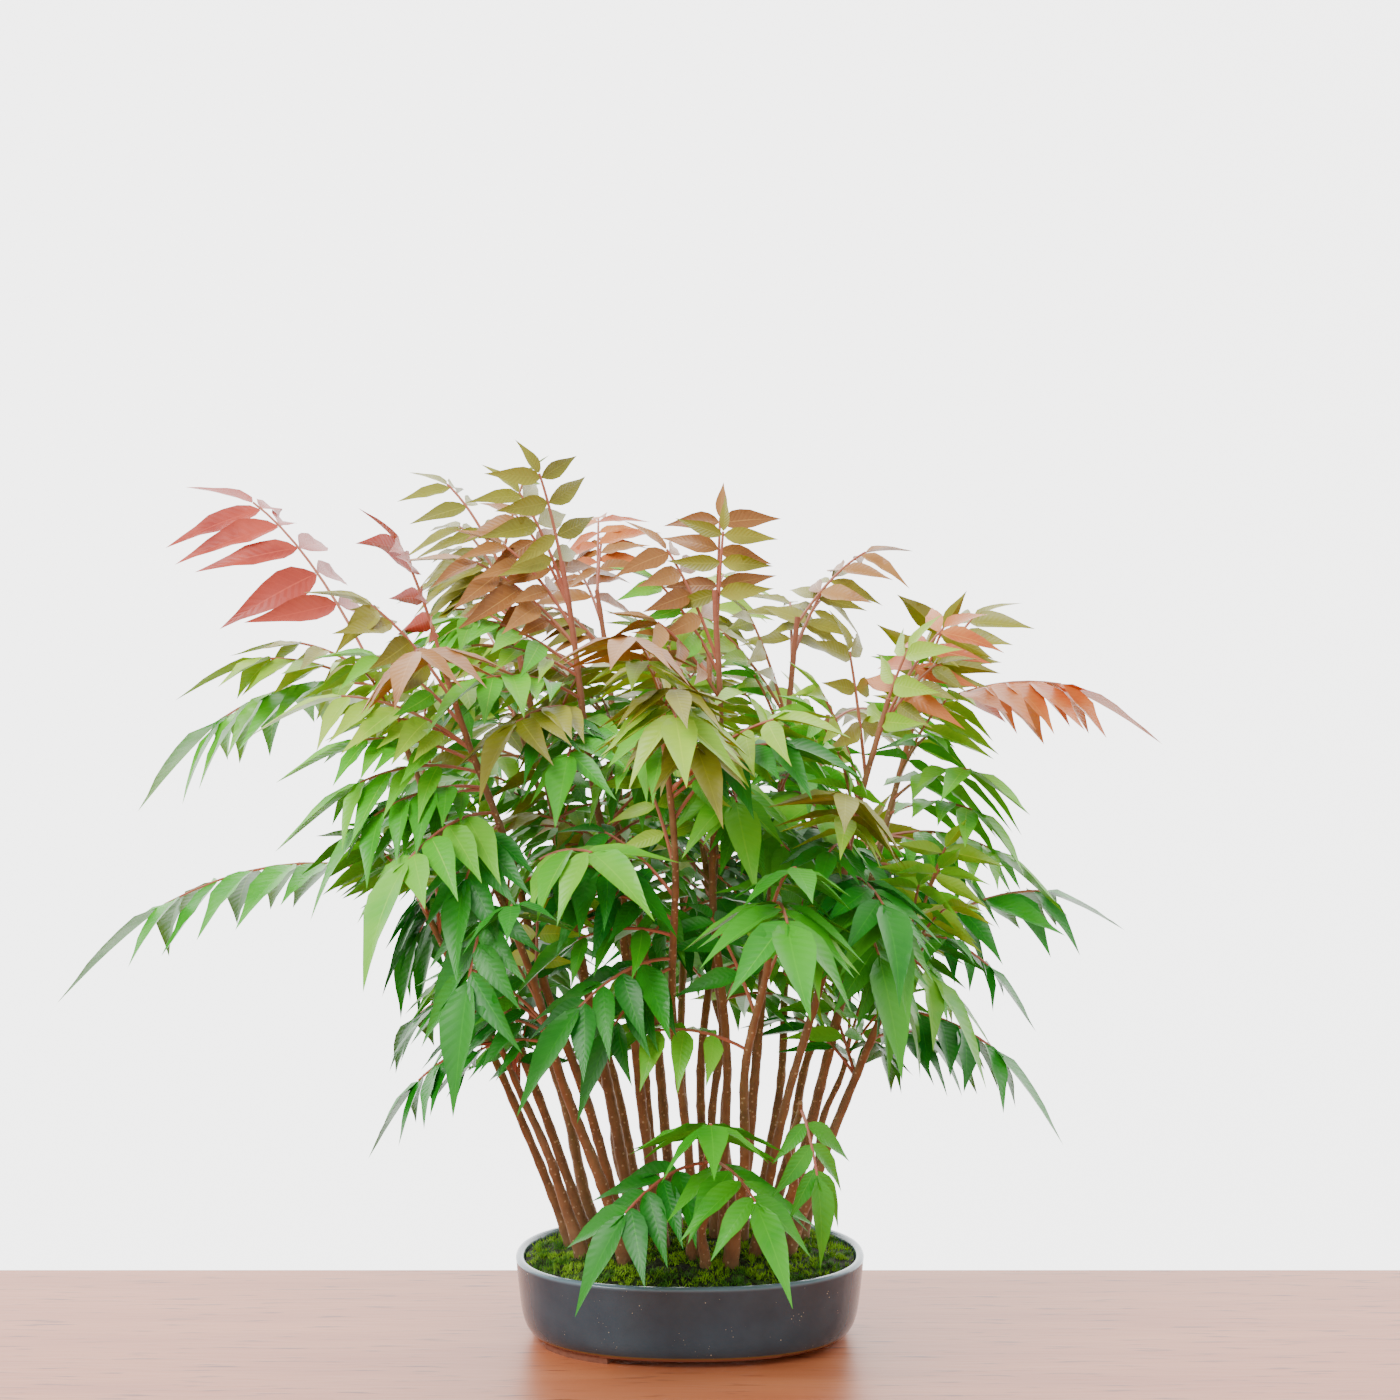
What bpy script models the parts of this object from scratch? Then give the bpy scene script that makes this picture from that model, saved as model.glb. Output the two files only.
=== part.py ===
"""Sumac bonsai: a clump of thin stems that fan out of moss in an oval glazed pot.

Lengths are in metres and +Z is up. The plant is laid out round the middle of
the pot, with the front of the pot towards -Y. At the end everything is shifted,
so that the origin lies on the table under the middle of the whole plant.
"""

import math
import random
from collections import namedtuple

import bmesh
import bpy
from mathutils import Quaternion, Vector
from mathutils.bvhtree import BVHTree

# Pot: an oval of glazed stoneware on four low feet
POT_LENGTH = 0.180
POT_WIDTH = 0.128
POT_HEIGHT = 0.042
POT_WALL = 0.0045
POT_OVAL_POWER = 2.3
POT_SIDES = 36
FOOT_HEIGHT = 0.0035
FOOT_INSET = 0.0088
FOOT_THICKNESS = 0.009
FOOT_GAP_FRONT = 0.078
FOOT_GAP_SIDE = 0.046
FLOOR_THICKNESS = 0.006

# Moss bed: soil up to the rim under a low dome of moss
MOSS_RISE = 0.009
MOSS_BELOW_RIM = 0.002
CLEARANCE = 0.0003

# Stems: their feet stand on an oval patch and their tips lie on rings in the crown
STEM_PATCH_X = 0.062
STEM_PATCH_Y = 0.037
STEM_SPACING = 0.0030
STEM_TRIES = 60
STEM_FOOT_RADIUS = 0.0033
STEM_TIP_RADIUS = 0.0014
ROOT_FLARE = 0.0014
ROOT_FLARE_HEIGHT = 0.009
STEM_WAVE = 0.0035
STEM_SIDES = 5
STEM_RINGS = 6
SHOOT_LENGTH = 0.052
SHOOT_SIDES = 5
CROWN_SHIFT_X = -0.022
CROWN_TILT = 0.012

# Each ring of shoots: stems, height of the tips, half-width, half-depth, share of
# the patch that their feet stand at, and the angle of the first one in degrees
Ring = namedtuple("Ring", "count height reach_x reach_y foot first")
RINGS = (
    Ring(count=6, height=0.388, reach_x=0.074, reach_y=0.066, foot=0.52, first=0),
    Ring(count=8, height=0.330, reach_x=0.140, reach_y=0.122, foot=0.78, first=180),
    Ring(count=7, height=0.232, reach_x=0.136, reach_y=0.116, foot=1.00, first=186),
    Ring(count=2, height=0.285, reach_x=0.030, reach_y=0.026, foot=0.24, first=30),
    Ring(count=4, height=0.150, reach_x=0.104, reach_y=0.090, foot=0.95, first=208),
)
FRONT_SPROUT_TIP = (0.008, -0.058, 0.104)

# Compound leaves: a thin rachis that arches over, pairs of leaflets and a last one
LEAVES_EACH = 7
LEAF_LENGTH = 0.100
LONG_LEAF = 0.118
LEAF_RISE = 0.16
LEAF_SAG = 0.20
LEAF_SPREAD = 30
LAST_LEAFLET = 0.42
FIRST_PAIR = 0.42
LAST_PAIR = 0.90
RACHIS_RADIUS = 0.0010
LEAFLET_LENGTH = 0.050
LEAFLET_SHARE = 0.48
LEAFLET_WIDTH = 0.38
LEAFLET_WIDEST = 0.38
LEAFLET_FOLD = 0.30
LEAFLET_SWEEP = 32
LEAFLET_DROOP = 0.42
LEAFLET_BASE = 0.0026
OUTWARD_ROLL = 0.35
OUTWARD_LEAN = 0.9
CROWN_RADIUS = 0.150
GOLDEN_ANGLE = math.radians(137.5)
LEAF_ATTEMPTS = 200
LOWEST_LEAF = 0.015

# Long leaves that reach out of the dome of the crown: where each one's tip is
LONG_LEAF_TIPS = (
    (-0.318, -0.040, 0.183),
    (-0.298, 0.020, 0.270),
    (-0.271, 0.040, 0.447),
    (-0.258, -0.040, 0.333),
    (0.243, -0.020, 0.312),
    (0.226, -0.010, 0.215),
    (0.172, -0.050, 0.165),
    (-0.165, -0.030, 0.098),
    (-0.105, -0.150, 0.145),
    (-0.057, -0.105, 0.046),
    (0.065, -0.105, 0.064),
    (-0.078, 0.012, 0.458),
    (-0.150, 0.030, 0.452),
    (0.172, 0.020, 0.385),
    (-0.125, -0.185, 0.330),
    (-0.060, 0.205, 0.300),
    (0.050, 0.205, 0.250),
    (-0.165, 0.155, 0.215),
    (0.030, 0.170, 0.130),
)

Stem = namedtuple("Stem", "name foot tip wave_phase waves foot_radius")


def remove_everything():
    """Empty the scene that the script was started in."""
    for obj in list(bpy.data.objects):
        bpy.data.objects.remove(obj, do_unlink=True)


def new_material(name, colour, roughness, metallic=0.0):
    """A plain surface; colour is linear red, green and blue."""
    material = bpy.data.materials.new(name)
    material.use_nodes = True
    surface = material.node_tree.nodes["Principled BSDF"]
    surface.inputs["Base Color"].default_value = (*colour, 1.0)
    surface.inputs["Roughness"].default_value = roughness
    surface.inputs["Metallic"].default_value = metallic
    material.diffuse_color = (*colour, 1.0)
    return material


def add_object(name, vertices, faces, material=None, smooth=False):
    """Put a closed shape into the scene as an object of its own."""
    mesh = bpy.data.meshes.new(name)
    mesh.from_pydata(vertices, [], faces)
    if smooth:
        mesh.shade_smooth()
        mesh.set_sharp_from_angle(angle=math.radians(35))
    if material:
        mesh.materials.append(material)
    obj = bpy.data.objects.new(name, mesh)
    bpy.context.scene.collection.objects.link(obj)
    return obj


def skin(rings):
    """Vertices and faces of the closed shape through rings of equally many points."""
    sides = len(rings[0])
    vertices = [point for ring in rings for point in ring]
    faces = [tuple(reversed(range(sides)))]
    for start in range(0, sides * (len(rings) - 1), sides):
        for side in range(sides):
            after = (side + 1) % sides
            faces.append((start + side, start + after, start + sides + after, start + sides + side))
    faces.append(tuple(range(len(vertices) - sides, len(vertices))))
    return vertices, faces


def oval(inset, height, scale=1.0):
    """A ring of points inside the rim's outline, by the given inset."""
    half_length = (POT_LENGTH / 2 - inset) * scale
    half_width = (POT_WIDTH / 2 - inset) * scale
    ring = []
    for side in range(POT_SIDES):
        angle = math.tau * side / POT_SIDES
        along = math.copysign(abs(math.cos(angle)) ** (2 / POT_OVAL_POWER), math.cos(angle))
        across = math.copysign(abs(math.sin(angle)) ** (2 / POT_OVAL_POWER), math.sin(angle))
        ring.append(Vector((half_length * along, half_width * across, height)))
    return ring


def wall_inset(height):
    """How far the pot's outer wall stands in from the rim at a height."""
    below = max(0.0, POT_HEIGHT - height) / POT_HEIGHT
    return 0.0045 * below + 0.0085 * below ** 8


def add_box(name, size):
    """A box round the origin that only cuts another shape."""
    bm = bmesh.new()
    bmesh.ops.create_cube(bm, size=1.0)
    bmesh.ops.scale(bm, vec=size, verts=bm.verts)
    mesh = bpy.data.meshes.new(name)
    bm.to_mesh(mesh)
    bm.free()
    box = bpy.data.objects.new(name, mesh)
    bpy.context.scene.collection.objects.link(box)
    hide_helper(box)
    return box


def hide_helper(obj):
    """Mark an object as a shape that only helps to make another one."""
    obj.hide_render = True
    obj.display_type = "WIRE"


def boolean(obj, other, operation):
    """Join another object to this one, or cut it away."""
    modifier = obj.modifiers.new(f"{operation.title()} {other.name}", "BOOLEAN")
    modifier.operation = operation
    modifier.object = other


def add_pot():
    """The oval pot: a tapered wall with a rounded lip, and a foot ring cut into four feet."""
    lip = 0.0012
    floor = FOOT_HEIGHT + FLOOR_THICKNESS
    outside = [oval(wall_inset(height), height) for height in (FOOT_HEIGHT, 0.006, 0.012, 0.036)]
    rim = [
        oval(0.0, POT_HEIGHT - lip),
        oval(lip, POT_HEIGHT),
        oval(POT_WALL - lip, POT_HEIGHT),
        oval(POT_WALL, POT_HEIGHT - lip),
    ]
    inside = [
        oval(wall_inset(floor + 0.004) + POT_WALL, floor + 0.004),
        oval(wall_inset(floor) + POT_WALL + 0.003, floor),
    ]
    glaze = new_material("blue-grey glaze", (0.045, 0.062, 0.075), 0.25)
    pot = add_object("pot", *skin(outside + rim + inside), glaze, smooth=True)

    sunk = FOOT_HEIGHT + 0.001
    foot_top = FOOT_HEIGHT + 0.002
    ring = add_object("foot ring", *skin([oval(FOOT_INSET + 0.001, 0.0), oval(FOOT_INSET, foot_top)]))
    inner_edge = FOOT_INSET + FOOT_THICKNESS
    middle = add_object("inside of ring", *skin([oval(inner_edge, -0.001), oval(inner_edge, sunk)]))
    hide_helper(ring)
    hide_helper(middle)
    boolean(ring, middle, "DIFFERENCE")
    boolean(ring, add_box("front gap", (FOOT_GAP_FRONT, POT_WIDTH, 2 * sunk)), "DIFFERENCE")
    boolean(ring, add_box("side gap", (POT_LENGTH, FOOT_GAP_SIDE, 2 * sunk)), "DIFFERENCE")
    boolean(pot, ring, "UNION")
    return pot


def moss_height(x, y):
    """Height of the moss at a place inside the rim."""
    half_length = POT_LENGTH / 2 - POT_WALL
    half_width = POT_WIDTH / 2 - POT_WALL
    share = (x / half_length) ** 2 + (y / half_width) ** 2
    return POT_HEIGHT - MOSS_BELOW_RIM + MOSS_RISE * (1.0 - share)


def add_moss_bed():
    """Soil that fills the pot, under a low dome of moss."""
    floor = FOOT_HEIGHT + FLOOR_THICKNESS
    edge = POT_HEIGHT - MOSS_BELOW_RIM
    rings = [oval(wall_inset(floor) + POT_WALL + 0.0045, floor + CLEARANCE)]
    for height in (floor + 0.0045, 0.030, edge - MOSS_RISE * 0.12):
        rings.append(oval(wall_inset(height) + POT_WALL + 2 * CLEARANCE, height))
    for scale in (0.97, 0.86, 0.70, 0.50, 0.28):
        ring = oval(POT_WALL + 2 * CLEARANCE, 0.0, scale)
        for point in ring:
            point.z = moss_height(point.x, point.y)
        rings.append(ring)
    moss = new_material("moss", (0.10, 0.20, 0.02), 0.95)
    return add_object("moss_bed", *skin(rings), moss, smooth=True)


def plan_stems():
    """Lay out the fan: one stem for each place on each ring of the crown."""
    stems = []
    for ring in RINGS:
        for place in range(ring.count):
            chance = random.Random(f"stem {ring.height} {place}")
            tries = [plan_stem(len(stems) + 1, ring, place, chance) for _ in range(STEM_TRIES)]
            stems.append(max(tries, key=lambda stem: min(STEM_SPACING, room_round(stem, stems))))
    chance = random.Random("front sprout")
    foot = (FRONT_SPROUT_TIP[0], -STEM_PATCH_Y)
    stems.append(new_stem(len(stems) + 1, foot, FRONT_SPROUT_TIP, 0.6, chance))
    return stems


def plan_stem(number, ring, place, chance):
    """A stem for one place on a ring, with its foot and tip a little off the regular place."""
    angle = math.radians(ring.first) + math.tau * place / ring.count + chance.uniform(-0.12, 0.12)
    reach = chance.uniform(0.93, 1.07)
    lean = CROWN_SHIFT_X * ring.height / RINGS[0].height
    tip = (
        lean + ring.reach_x * reach * math.cos(angle),
        ring.reach_y * reach * math.sin(angle),
        ring.height - CROWN_TILT * math.cos(angle) + chance.uniform(-0.008, 0.008),
    )
    share = min(1.0, ring.foot * chance.uniform(0.8, 1.1))
    turned = angle + chance.uniform(-0.25, 0.25)
    foot = (STEM_PATCH_X * share * math.cos(turned), STEM_PATCH_Y * share * math.sin(turned))
    return new_stem(number, foot, tip, 1.0, chance)


def new_stem(number, foot, tip, thickness, chance):
    """One stem from its foot on the moss to the tip of its shoot."""
    return Stem(
        name=f"{number:02d}",
        foot=Vector((*foot, moss_height(*foot))),
        tip=Vector(tip),
        wave_phase=chance.uniform(0.0, math.tau),
        waves=chance.uniform(1.2, 2.2),
        foot_radius=STEM_FOOT_RADIUS * thickness * chance.uniform(0.82, 1.12),
    )


def room_round(stem, stems):
    """The narrowest space between a stem and the others, measured level with it."""
    narrowest = STEM_SPACING
    for step in range(16):
        share = step / 15
        point = stem_point(stem, share)
        for other in stems:
            level = (point.z - other.foot.z) / (other.tip.z - other.foot.z)
            if level < 1.05:
                level = min(max(level, 0.0), 1.0)
                between = (point - stem_point(other, level)).length
                narrowest = min(narrowest, between - stem_radius(stem, share) - stem_radius(other, level))
    return narrowest


def stem_point(stem, share):
    """A point on a stem: a slightly bowed line with a wave that dies out at both ends."""
    upright = stem.foot.lerp(stem.tip, 0.5) + Vector((0.0, 0.0, 0.012))
    lower = stem.foot.lerp(upright, share)
    upper = upright.lerp(stem.tip, share)
    point = lower.lerp(upper, share)
    sideways = Vector((stem.foot.y - stem.tip.y, stem.tip.x - stem.foot.x, 0.0)).normalized()
    swing = math.sin(stem.wave_phase + math.tau * stem.waves * share) * math.sin(math.pi * share)
    return point + sideways * (STEM_WAVE * swing)


def stem_heading(stem, share):
    """The direction in which a stem grows at a point."""
    step = 0.01
    before = stem_point(stem, max(0.0, share - step))
    after = stem_point(stem, min(1.0, share + step))
    return (after - before).normalized()


def stem_end(stem):
    """The share of the way at which the bare stem ends and its leafy shoot begins."""
    return 1.0 - SHOOT_LENGTH / (stem.tip - stem.foot).length


def stem_radius(stem, share):
    """A stem's radius: an even taper with a flare at the root."""
    taper = stem.foot_radius + (STEM_TIP_RADIUS - stem.foot_radius) * min(1.0, share) ** 0.8
    height = share * (stem.tip - stem.foot).length
    return taper + ROOT_FLARE * math.exp(-height / ROOT_FLARE_HEIGHT)


def ground_normal(stem):
    """The direction that is square to the moss under a stem."""
    step = 0.001
    x, y = stem.foot.x, stem.foot.y
    slope_x = (moss_height(x + step, y) - moss_height(x - step, y)) / (2 * step)
    slope_y = (moss_height(x, y + step) - moss_height(x, y - step)) / (2 * step)
    return Vector((-slope_x, -slope_y, 1.0)).normalized()


def tube(points, headings, radii, sides):
    """Vertices and faces of a tube; its rings are square to the headings and don't twist."""
    across = headings[0].orthogonal().normalized()
    before = headings[0]
    rings = []
    for point, heading, radius in zip(points, headings, radii):
        across = before.rotation_difference(heading) @ across
        before = heading
        turn = math.tau / sides
        rings.append([
            point + Quaternion(heading, turn * side) @ across * radius
            for side in range(sides)
        ])
    return skin(rings)


def stem_tube(stem, extra=0.0):
    """The bare stem: a flat cut that stands on the moss, and a flat cut at its tip."""
    end = stem_end(stem)
    shares = [end * (ring / (STEM_RINGS - 1)) ** 1.6 for ring in range(STEM_RINGS)]
    points = [stem_point(stem, share) for share in shares]
    headings = [stem_heading(stem, share) for share in shares]
    radii = [stem_radius(stem, share) + extra for share in shares]
    headings[0] = ground_normal(stem)
    points[0] = stem.foot + headings[0] * CLEARANCE
    return tube(points, headings, radii, STEM_SIDES)


def shoot_tube(stem, extra=0.0):
    """The leafy shoot that grows on from a stem, just clear of the stem's cut."""
    end = stem_end(stem)
    shares = [end, (1.0 + end) / 2, 1.0]
    points = [stem_point(stem, share) for share in shares]
    headings = [stem_heading(stem, share) for share in shares]
    radii = [stem_radius(stem, share) + extra for share in shares]
    points[0] = points[0] + headings[0] * CLEARANCE
    return tube(points, headings, radii, SHOOT_SIDES)


def arch(root, tip, share):
    """A point on the curve that a leaf takes from its root to its tip."""
    rise = Vector((0.0, 0.0, (tip - root).length * LEAF_RISE))
    middle = root.lerp(tip, 0.5) + rise * 2
    return root.lerp(middle, share).lerp(middle.lerp(tip, share), share)


def arch_heading(root, tip, share):
    """The direction of that curve at a point."""
    return (arch(root, tip, share + 0.01) - arch(root, tip, share - 0.01)).normalized()


def add_blade(vertices, faces, base, heading, over, length):
    """Grow a folded leaflet of eight faces out of the rachis.

    Its base is four corners of the rachis: near and far on top, far and near below.
    """
    near_top, far_top, far_low, near_low = base
    start = sum((vertices[corner] for corner in base), Vector()) / len(base)
    along = heading.normalized()
    over = (over - along * over.dot(along)).normalized()
    across = over.cross(along)
    if across.dot(vertices[far_top] - vertices[near_top]) < 0.0:
        across = -across
    half_width = length * LEAFLET_WIDTH / 2
    middle = start + along * (length * LEAFLET_WIDEST) + over * (half_width * LEAFLET_FOLD)
    near_edge = len(vertices)
    far_edge = near_edge + 1
    tip = near_edge + 2
    vertices += [middle - across * half_width, middle + across * half_width, start + along * length]
    faces += [
        (near_top, near_edge, tip),
        (near_top, tip, far_top),
        (far_top, tip, far_edge),
        (near_low, tip, near_edge),
        (far_low, far_edge, tip),
        (near_top, near_low, near_edge),
        (far_top, far_edge, far_low),
    ]
    if near_low != far_low:
        faces.append((near_low, far_low, tip))


def compound_leaf(root, tip, chance):
    """One leaf as a closed shape: a three-sided rachis whose sides grow into leaflets."""
    length = (tip - root).length
    pairs = 3 if length > LONG_LEAF else 2
    rachis = 1.0 - min(LAST_LEAFLET, LEAFLET_LENGTH * 1.1 / length)
    size = min(LEAFLET_LENGTH, length * LEAFLET_SHARE)
    outward = Vector((root.x, root.y, 0.0)).normalized()
    sideways = (tip - root).cross(Vector((0.0, 0.0, 1.0)) + outward * OUTWARD_ROLL).normalized()
    half_base = LEAFLET_BASE / length / 2
    shares = [0.0]
    for pair in range(pairs):
        middle = rachis * (FIRST_PAIR + (LAST_PAIR - FIRST_PAIR) * pair / (pairs - 1))
        shares += [middle - half_base, middle + half_base]
    shares.append(rachis)

    vertices = []
    for share in shares:
        centre = arch(root, tip, share)
        over = sideways.cross(arch_heading(root, tip, share))
        radius = RACHIS_RADIUS * (1.0 - 0.3 * share)
        for angle in (150, 30, 270):
            turn = math.radians(angle)
            vertices.append(centre + (sideways * math.cos(turn) + over * math.sin(turn)) * radius)

    faces = [(0, 2, 1)]
    for ring, share in enumerate(shares[:-1]):
        left, right, low = range(3 * ring, 3 * ring + 3)
        next_left, next_right, next_low = left + 3, right + 3, low + 3
        faces.append((left, right, next_right, next_left))
        if ring % 2 == 0:
            faces.append((left, next_left, next_low, low))
            faces.append((right, low, next_low, next_right))
            continue
        forward = arch_heading(root, tip, share)
        over = sideways.cross(forward)
        for hand, top, next_top in ((-1.0, left, next_left), (1.0, right, next_right)):
            sweep = math.radians(LEAFLET_SWEEP + chance.uniform(-6, 6))
            heading = sideways * (hand * math.cos(sweep)) + forward * math.sin(sweep)
            heading.z -= LEAFLET_DROOP * chance.uniform(0.6, 1.3)
            grown = size * chance.uniform(0.88, 1.06)
            add_blade(vertices, faces, (top, next_top, next_low, low), heading, over, grown)
    left, right, low = range(3 * len(shares) - 3, 3 * len(shares))
    end = arch(root, tip, rachis)
    over = sideways.cross(tip - end)
    add_blade(vertices, faces, (left, right, low, low), tip - end, over, (tip - end).length)
    return vertices, faces


def as_tree(shapes):
    """A search tree over some closed shapes, to find out what they touch."""
    vertices = []
    faces = []
    for shape_vertices, shape_faces in shapes:
        faces += [tuple(index + len(vertices) for index in face) for face in shape_faces]
        vertices += shape_vertices
    return BVHTree.FromPolygons(vertices, faces)


def keeps_to_space(vertices, own, others):
    """Whether all points lie nearer to their own shoot's tip than to any other."""
    for point in vertices:
        for other in others:
            farther = (point - other).length_squared - (point - own).length_squared
            if farther < 2 * CLEARANCE * 2 * (other - own).length:
                return False
    return True


def fits(leaf, leaves, shoot, limbs, own, others):
    """Whether a leaf keeps to its space, and clear of every limb and of its own kind."""
    vertices, faces = leaf
    if min(point.z for point in vertices) < LOWEST_LEAF or not keeps_to_space(vertices, own, others):
        return False
    tree = as_tree([leaf])
    if tree.overlap(limbs) or (leaves and tree.overlap(as_tree(leaves))):
        return False
    if any(not set(faces[one]) & set(faces[other]) for one, other in tree.overlap(tree)):
        return False
    beyond_root = [face for face in faces if min(face) > 2]
    return not as_tree([(vertices, beyond_root)]).overlap(shoot)


def grow_leaves(stem, stems, limbs):
    """The leaves of one shoot: its long ones first, then leaves in a spiral round it."""
    chance = random.Random(f"leaves {stem.name}")
    others = [other.tip for other in stems if other is not stem]
    shoot = as_tree([shoot_tube(stem)])
    end = stem_end(stem)
    headings = []
    leaves = []

    def grow(share, tip):
        root = stem_point(stem, end + (1.0 - end) * share)
        if any((tip - root).angle(heading) < math.radians(LEAF_SPREAD) for heading in headings):
            return False
        leaf = compound_leaf(root, tip, chance)
        if not fits(leaf, leaves, shoot, limbs, stem.tip, others):
            return False
        headings.append(tip - root)
        leaves.append(leaf)
        return True

    for tip in map(Vector, LONG_LEAF_TIPS):
        if min(stems, key=lambda each: (each.tip - tip).length) is stem:
            any(grow(share, tip) for share in (0.90, 0.80, 0.97, 0.70, 0.55))

    outward = Vector((stem.tip.x - CROWN_SHIFT_X, stem.tip.y, 0.0)) / CROWN_RADIUS
    axis = (stem_heading(stem, 1.0) + outward * OUTWARD_LEAN).normalized()
    across = axis.orthogonal().normalized()
    for attempt in range(LEAF_ATTEMPTS):
        if len(leaves) == LEAVES_EACH:
            break
        share = 0.30 + 0.66 * (attempt * 0.618 % 1.0)
        tilt = math.radians(90 - 60 * share + chance.uniform(-14, 14))
        turned = Quaternion(axis, GOLDEN_ANGLE * attempt) @ across
        heading = axis * math.cos(tilt) + turned * math.sin(tilt)
        shorter = 1.0 - 0.45 * attempt / LEAF_ATTEMPTS
        length = LEAF_LENGTH * shorter * chance.uniform(0.90, 1.10)
        root = stem_point(stem, end + (1.0 - end) * share)
        grow(share, root + heading * length - Vector((0.0, 0.0, length * LEAF_SAG)))
    return leaves


def join_foliage(stem, leaves, material):
    """Fuse a shoot with its leaves, whose roots are sunk in it, into one closed solid."""
    name = f"foliage_{stem.name}"
    mass = add_object(name, *shoot_tube(stem), material)
    pieces = bpy.data.collections.new(f"{name} leaves")
    for number, leaf in enumerate(leaves):
        piece = add_object(f"{name} leaf {number}", *leaf)
        turn_faces_out(piece.data)
        bpy.context.scene.collection.objects.unlink(piece)
        pieces.objects.link(piece)
    modifier = mass.modifiers.new("Join", "BOOLEAN")
    modifier.operation = "UNION"
    modifier.operand_type = "COLLECTION"
    modifier.collection = pieces
    evaluated = mass.evaluated_get(bpy.context.evaluated_depsgraph_get())
    joined = bpy.data.meshes.new_from_object(evaluated)
    mass.modifiers.clear()
    mass.data = joined
    for piece in list(pieces.objects):
        bpy.data.objects.remove(piece, do_unlink=True)
    bpy.data.collections.remove(pieces)
    drop_scraps(mass.data)
    return mass


def turn_faces_out(mesh):
    """Make every face of a closed shape look outwards."""
    bm = bmesh.new()
    bm.from_mesh(mesh)
    bmesh.ops.recalc_face_normals(bm, faces=bm.faces)
    bm.to_mesh(mesh)
    bm.free()


def drop_scraps(mesh):
    """Keep only the largest connected body of a mesh."""
    bm = bmesh.new()
    bm.from_mesh(mesh)
    waiting = set(bm.verts)
    bodies = []
    while waiting:
        edge_of_search = [waiting.pop()]
        body = list(edge_of_search)
        while edge_of_search:
            for edge in edge_of_search.pop().link_edges:
                for vertex in edge.verts:
                    if vertex in waiting:
                        waiting.remove(vertex)
                        edge_of_search.append(vertex)
                        body.append(vertex)
        bodies.append(body)
    bodies.sort(key=len)
    for body in bodies[:-1]:
        bmesh.ops.delete(bm, geom=body, context="VERTS")
    bm.to_mesh(mesh)
    bm.free()


def centre_on_footprint(objects):
    """Shift the plant so that the origin is under the middle of its whole width and depth."""
    bpy.context.view_layer.update()
    corners = [obj.matrix_world @ Vector(corner) for obj in objects for corner in obj.bound_box]
    middle_x = (min(corner.x for corner in corners) + max(corner.x for corner in corners)) / 2
    middle_y = (min(corner.y for corner in corners) + max(corner.y for corner in corners)) / 2
    for obj in bpy.context.scene.objects:
        obj.location.x -= middle_x
        obj.location.y -= middle_y


def build():
    remove_everything()
    pot = add_pot()
    moss_bed = add_moss_bed()
    bark = new_material("bark", (0.20, 0.10, 0.055), 0.8)
    young = new_material("young leaf", (0.26, 0.16, 0.05), 0.5)
    grown = new_material("grown leaf", (0.09, 0.30, 0.03), 0.5)
    stems = plan_stems()
    objects = [pot, moss_bed]
    for stem in stems:
        objects.append(add_object(f"stem_{stem.name}", *stem_tube(stem), bark, smooth=True))
    for stem in stems:
        limbs = [shape_of(pot), shape_of(moss_bed)]
        limbs += [stem_tube(each, extra=2 * CLEARANCE) for each in stems]
        limbs += [shoot_tube(each, extra=2 * CLEARANCE) for each in stems if each is not stem]
        leaves = grow_leaves(stem, stems, as_tree(limbs))
        leaf_material = young if stem.tip.z > 0.31 else grown
        objects.append(join_foliage(stem, leaves, leaf_material))
    centre_on_footprint(objects)


def shape_of(obj):
    """An object's own vertices and faces, before its modifiers."""
    vertices = [vertex.co.copy() for vertex in obj.data.vertices]
    return vertices, [tuple(face.vertices) for face in obj.data.polygons]


build()
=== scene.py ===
"""Sumac bonsai: a clump of thin stems with autumn leaves, in moss in an oval glazed pot.

The stems follow the paths of the solids, and the leaves are grown by a rule like
theirs. Places are laid out round the middle of the pot and then moved to it.
"""

import math
import random
from collections import namedtuple

import bpy
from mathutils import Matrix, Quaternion, Vector, noise
from mathutils.bvhtree import BVHTree


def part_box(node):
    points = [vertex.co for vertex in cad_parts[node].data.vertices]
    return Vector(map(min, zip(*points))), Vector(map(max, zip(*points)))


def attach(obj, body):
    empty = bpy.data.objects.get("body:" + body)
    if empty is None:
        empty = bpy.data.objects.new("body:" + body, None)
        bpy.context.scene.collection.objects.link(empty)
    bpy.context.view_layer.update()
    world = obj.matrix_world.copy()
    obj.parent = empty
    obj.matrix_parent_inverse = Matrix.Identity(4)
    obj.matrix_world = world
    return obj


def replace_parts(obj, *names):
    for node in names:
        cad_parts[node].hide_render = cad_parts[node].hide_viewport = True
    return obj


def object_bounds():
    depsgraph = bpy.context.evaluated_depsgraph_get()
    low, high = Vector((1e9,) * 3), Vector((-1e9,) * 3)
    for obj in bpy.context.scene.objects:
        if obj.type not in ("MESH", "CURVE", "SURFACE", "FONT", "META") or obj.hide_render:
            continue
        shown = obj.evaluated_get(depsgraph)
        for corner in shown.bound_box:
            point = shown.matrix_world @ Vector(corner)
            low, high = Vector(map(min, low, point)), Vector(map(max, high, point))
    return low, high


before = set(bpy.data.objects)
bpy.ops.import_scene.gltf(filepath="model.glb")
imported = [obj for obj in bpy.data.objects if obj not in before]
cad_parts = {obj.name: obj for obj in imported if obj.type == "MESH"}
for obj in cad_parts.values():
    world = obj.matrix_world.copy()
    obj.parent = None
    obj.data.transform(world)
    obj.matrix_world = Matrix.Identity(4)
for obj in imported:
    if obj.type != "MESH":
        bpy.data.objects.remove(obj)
cad_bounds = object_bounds()
pot_low, pot_high = (Vector(corner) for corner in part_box("pot"))
POT_MIDDLE = Vector(((pot_low.x + pot_high.x) / 2, (pot_low.y + pot_high.y) / 2, 0.0))


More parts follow.
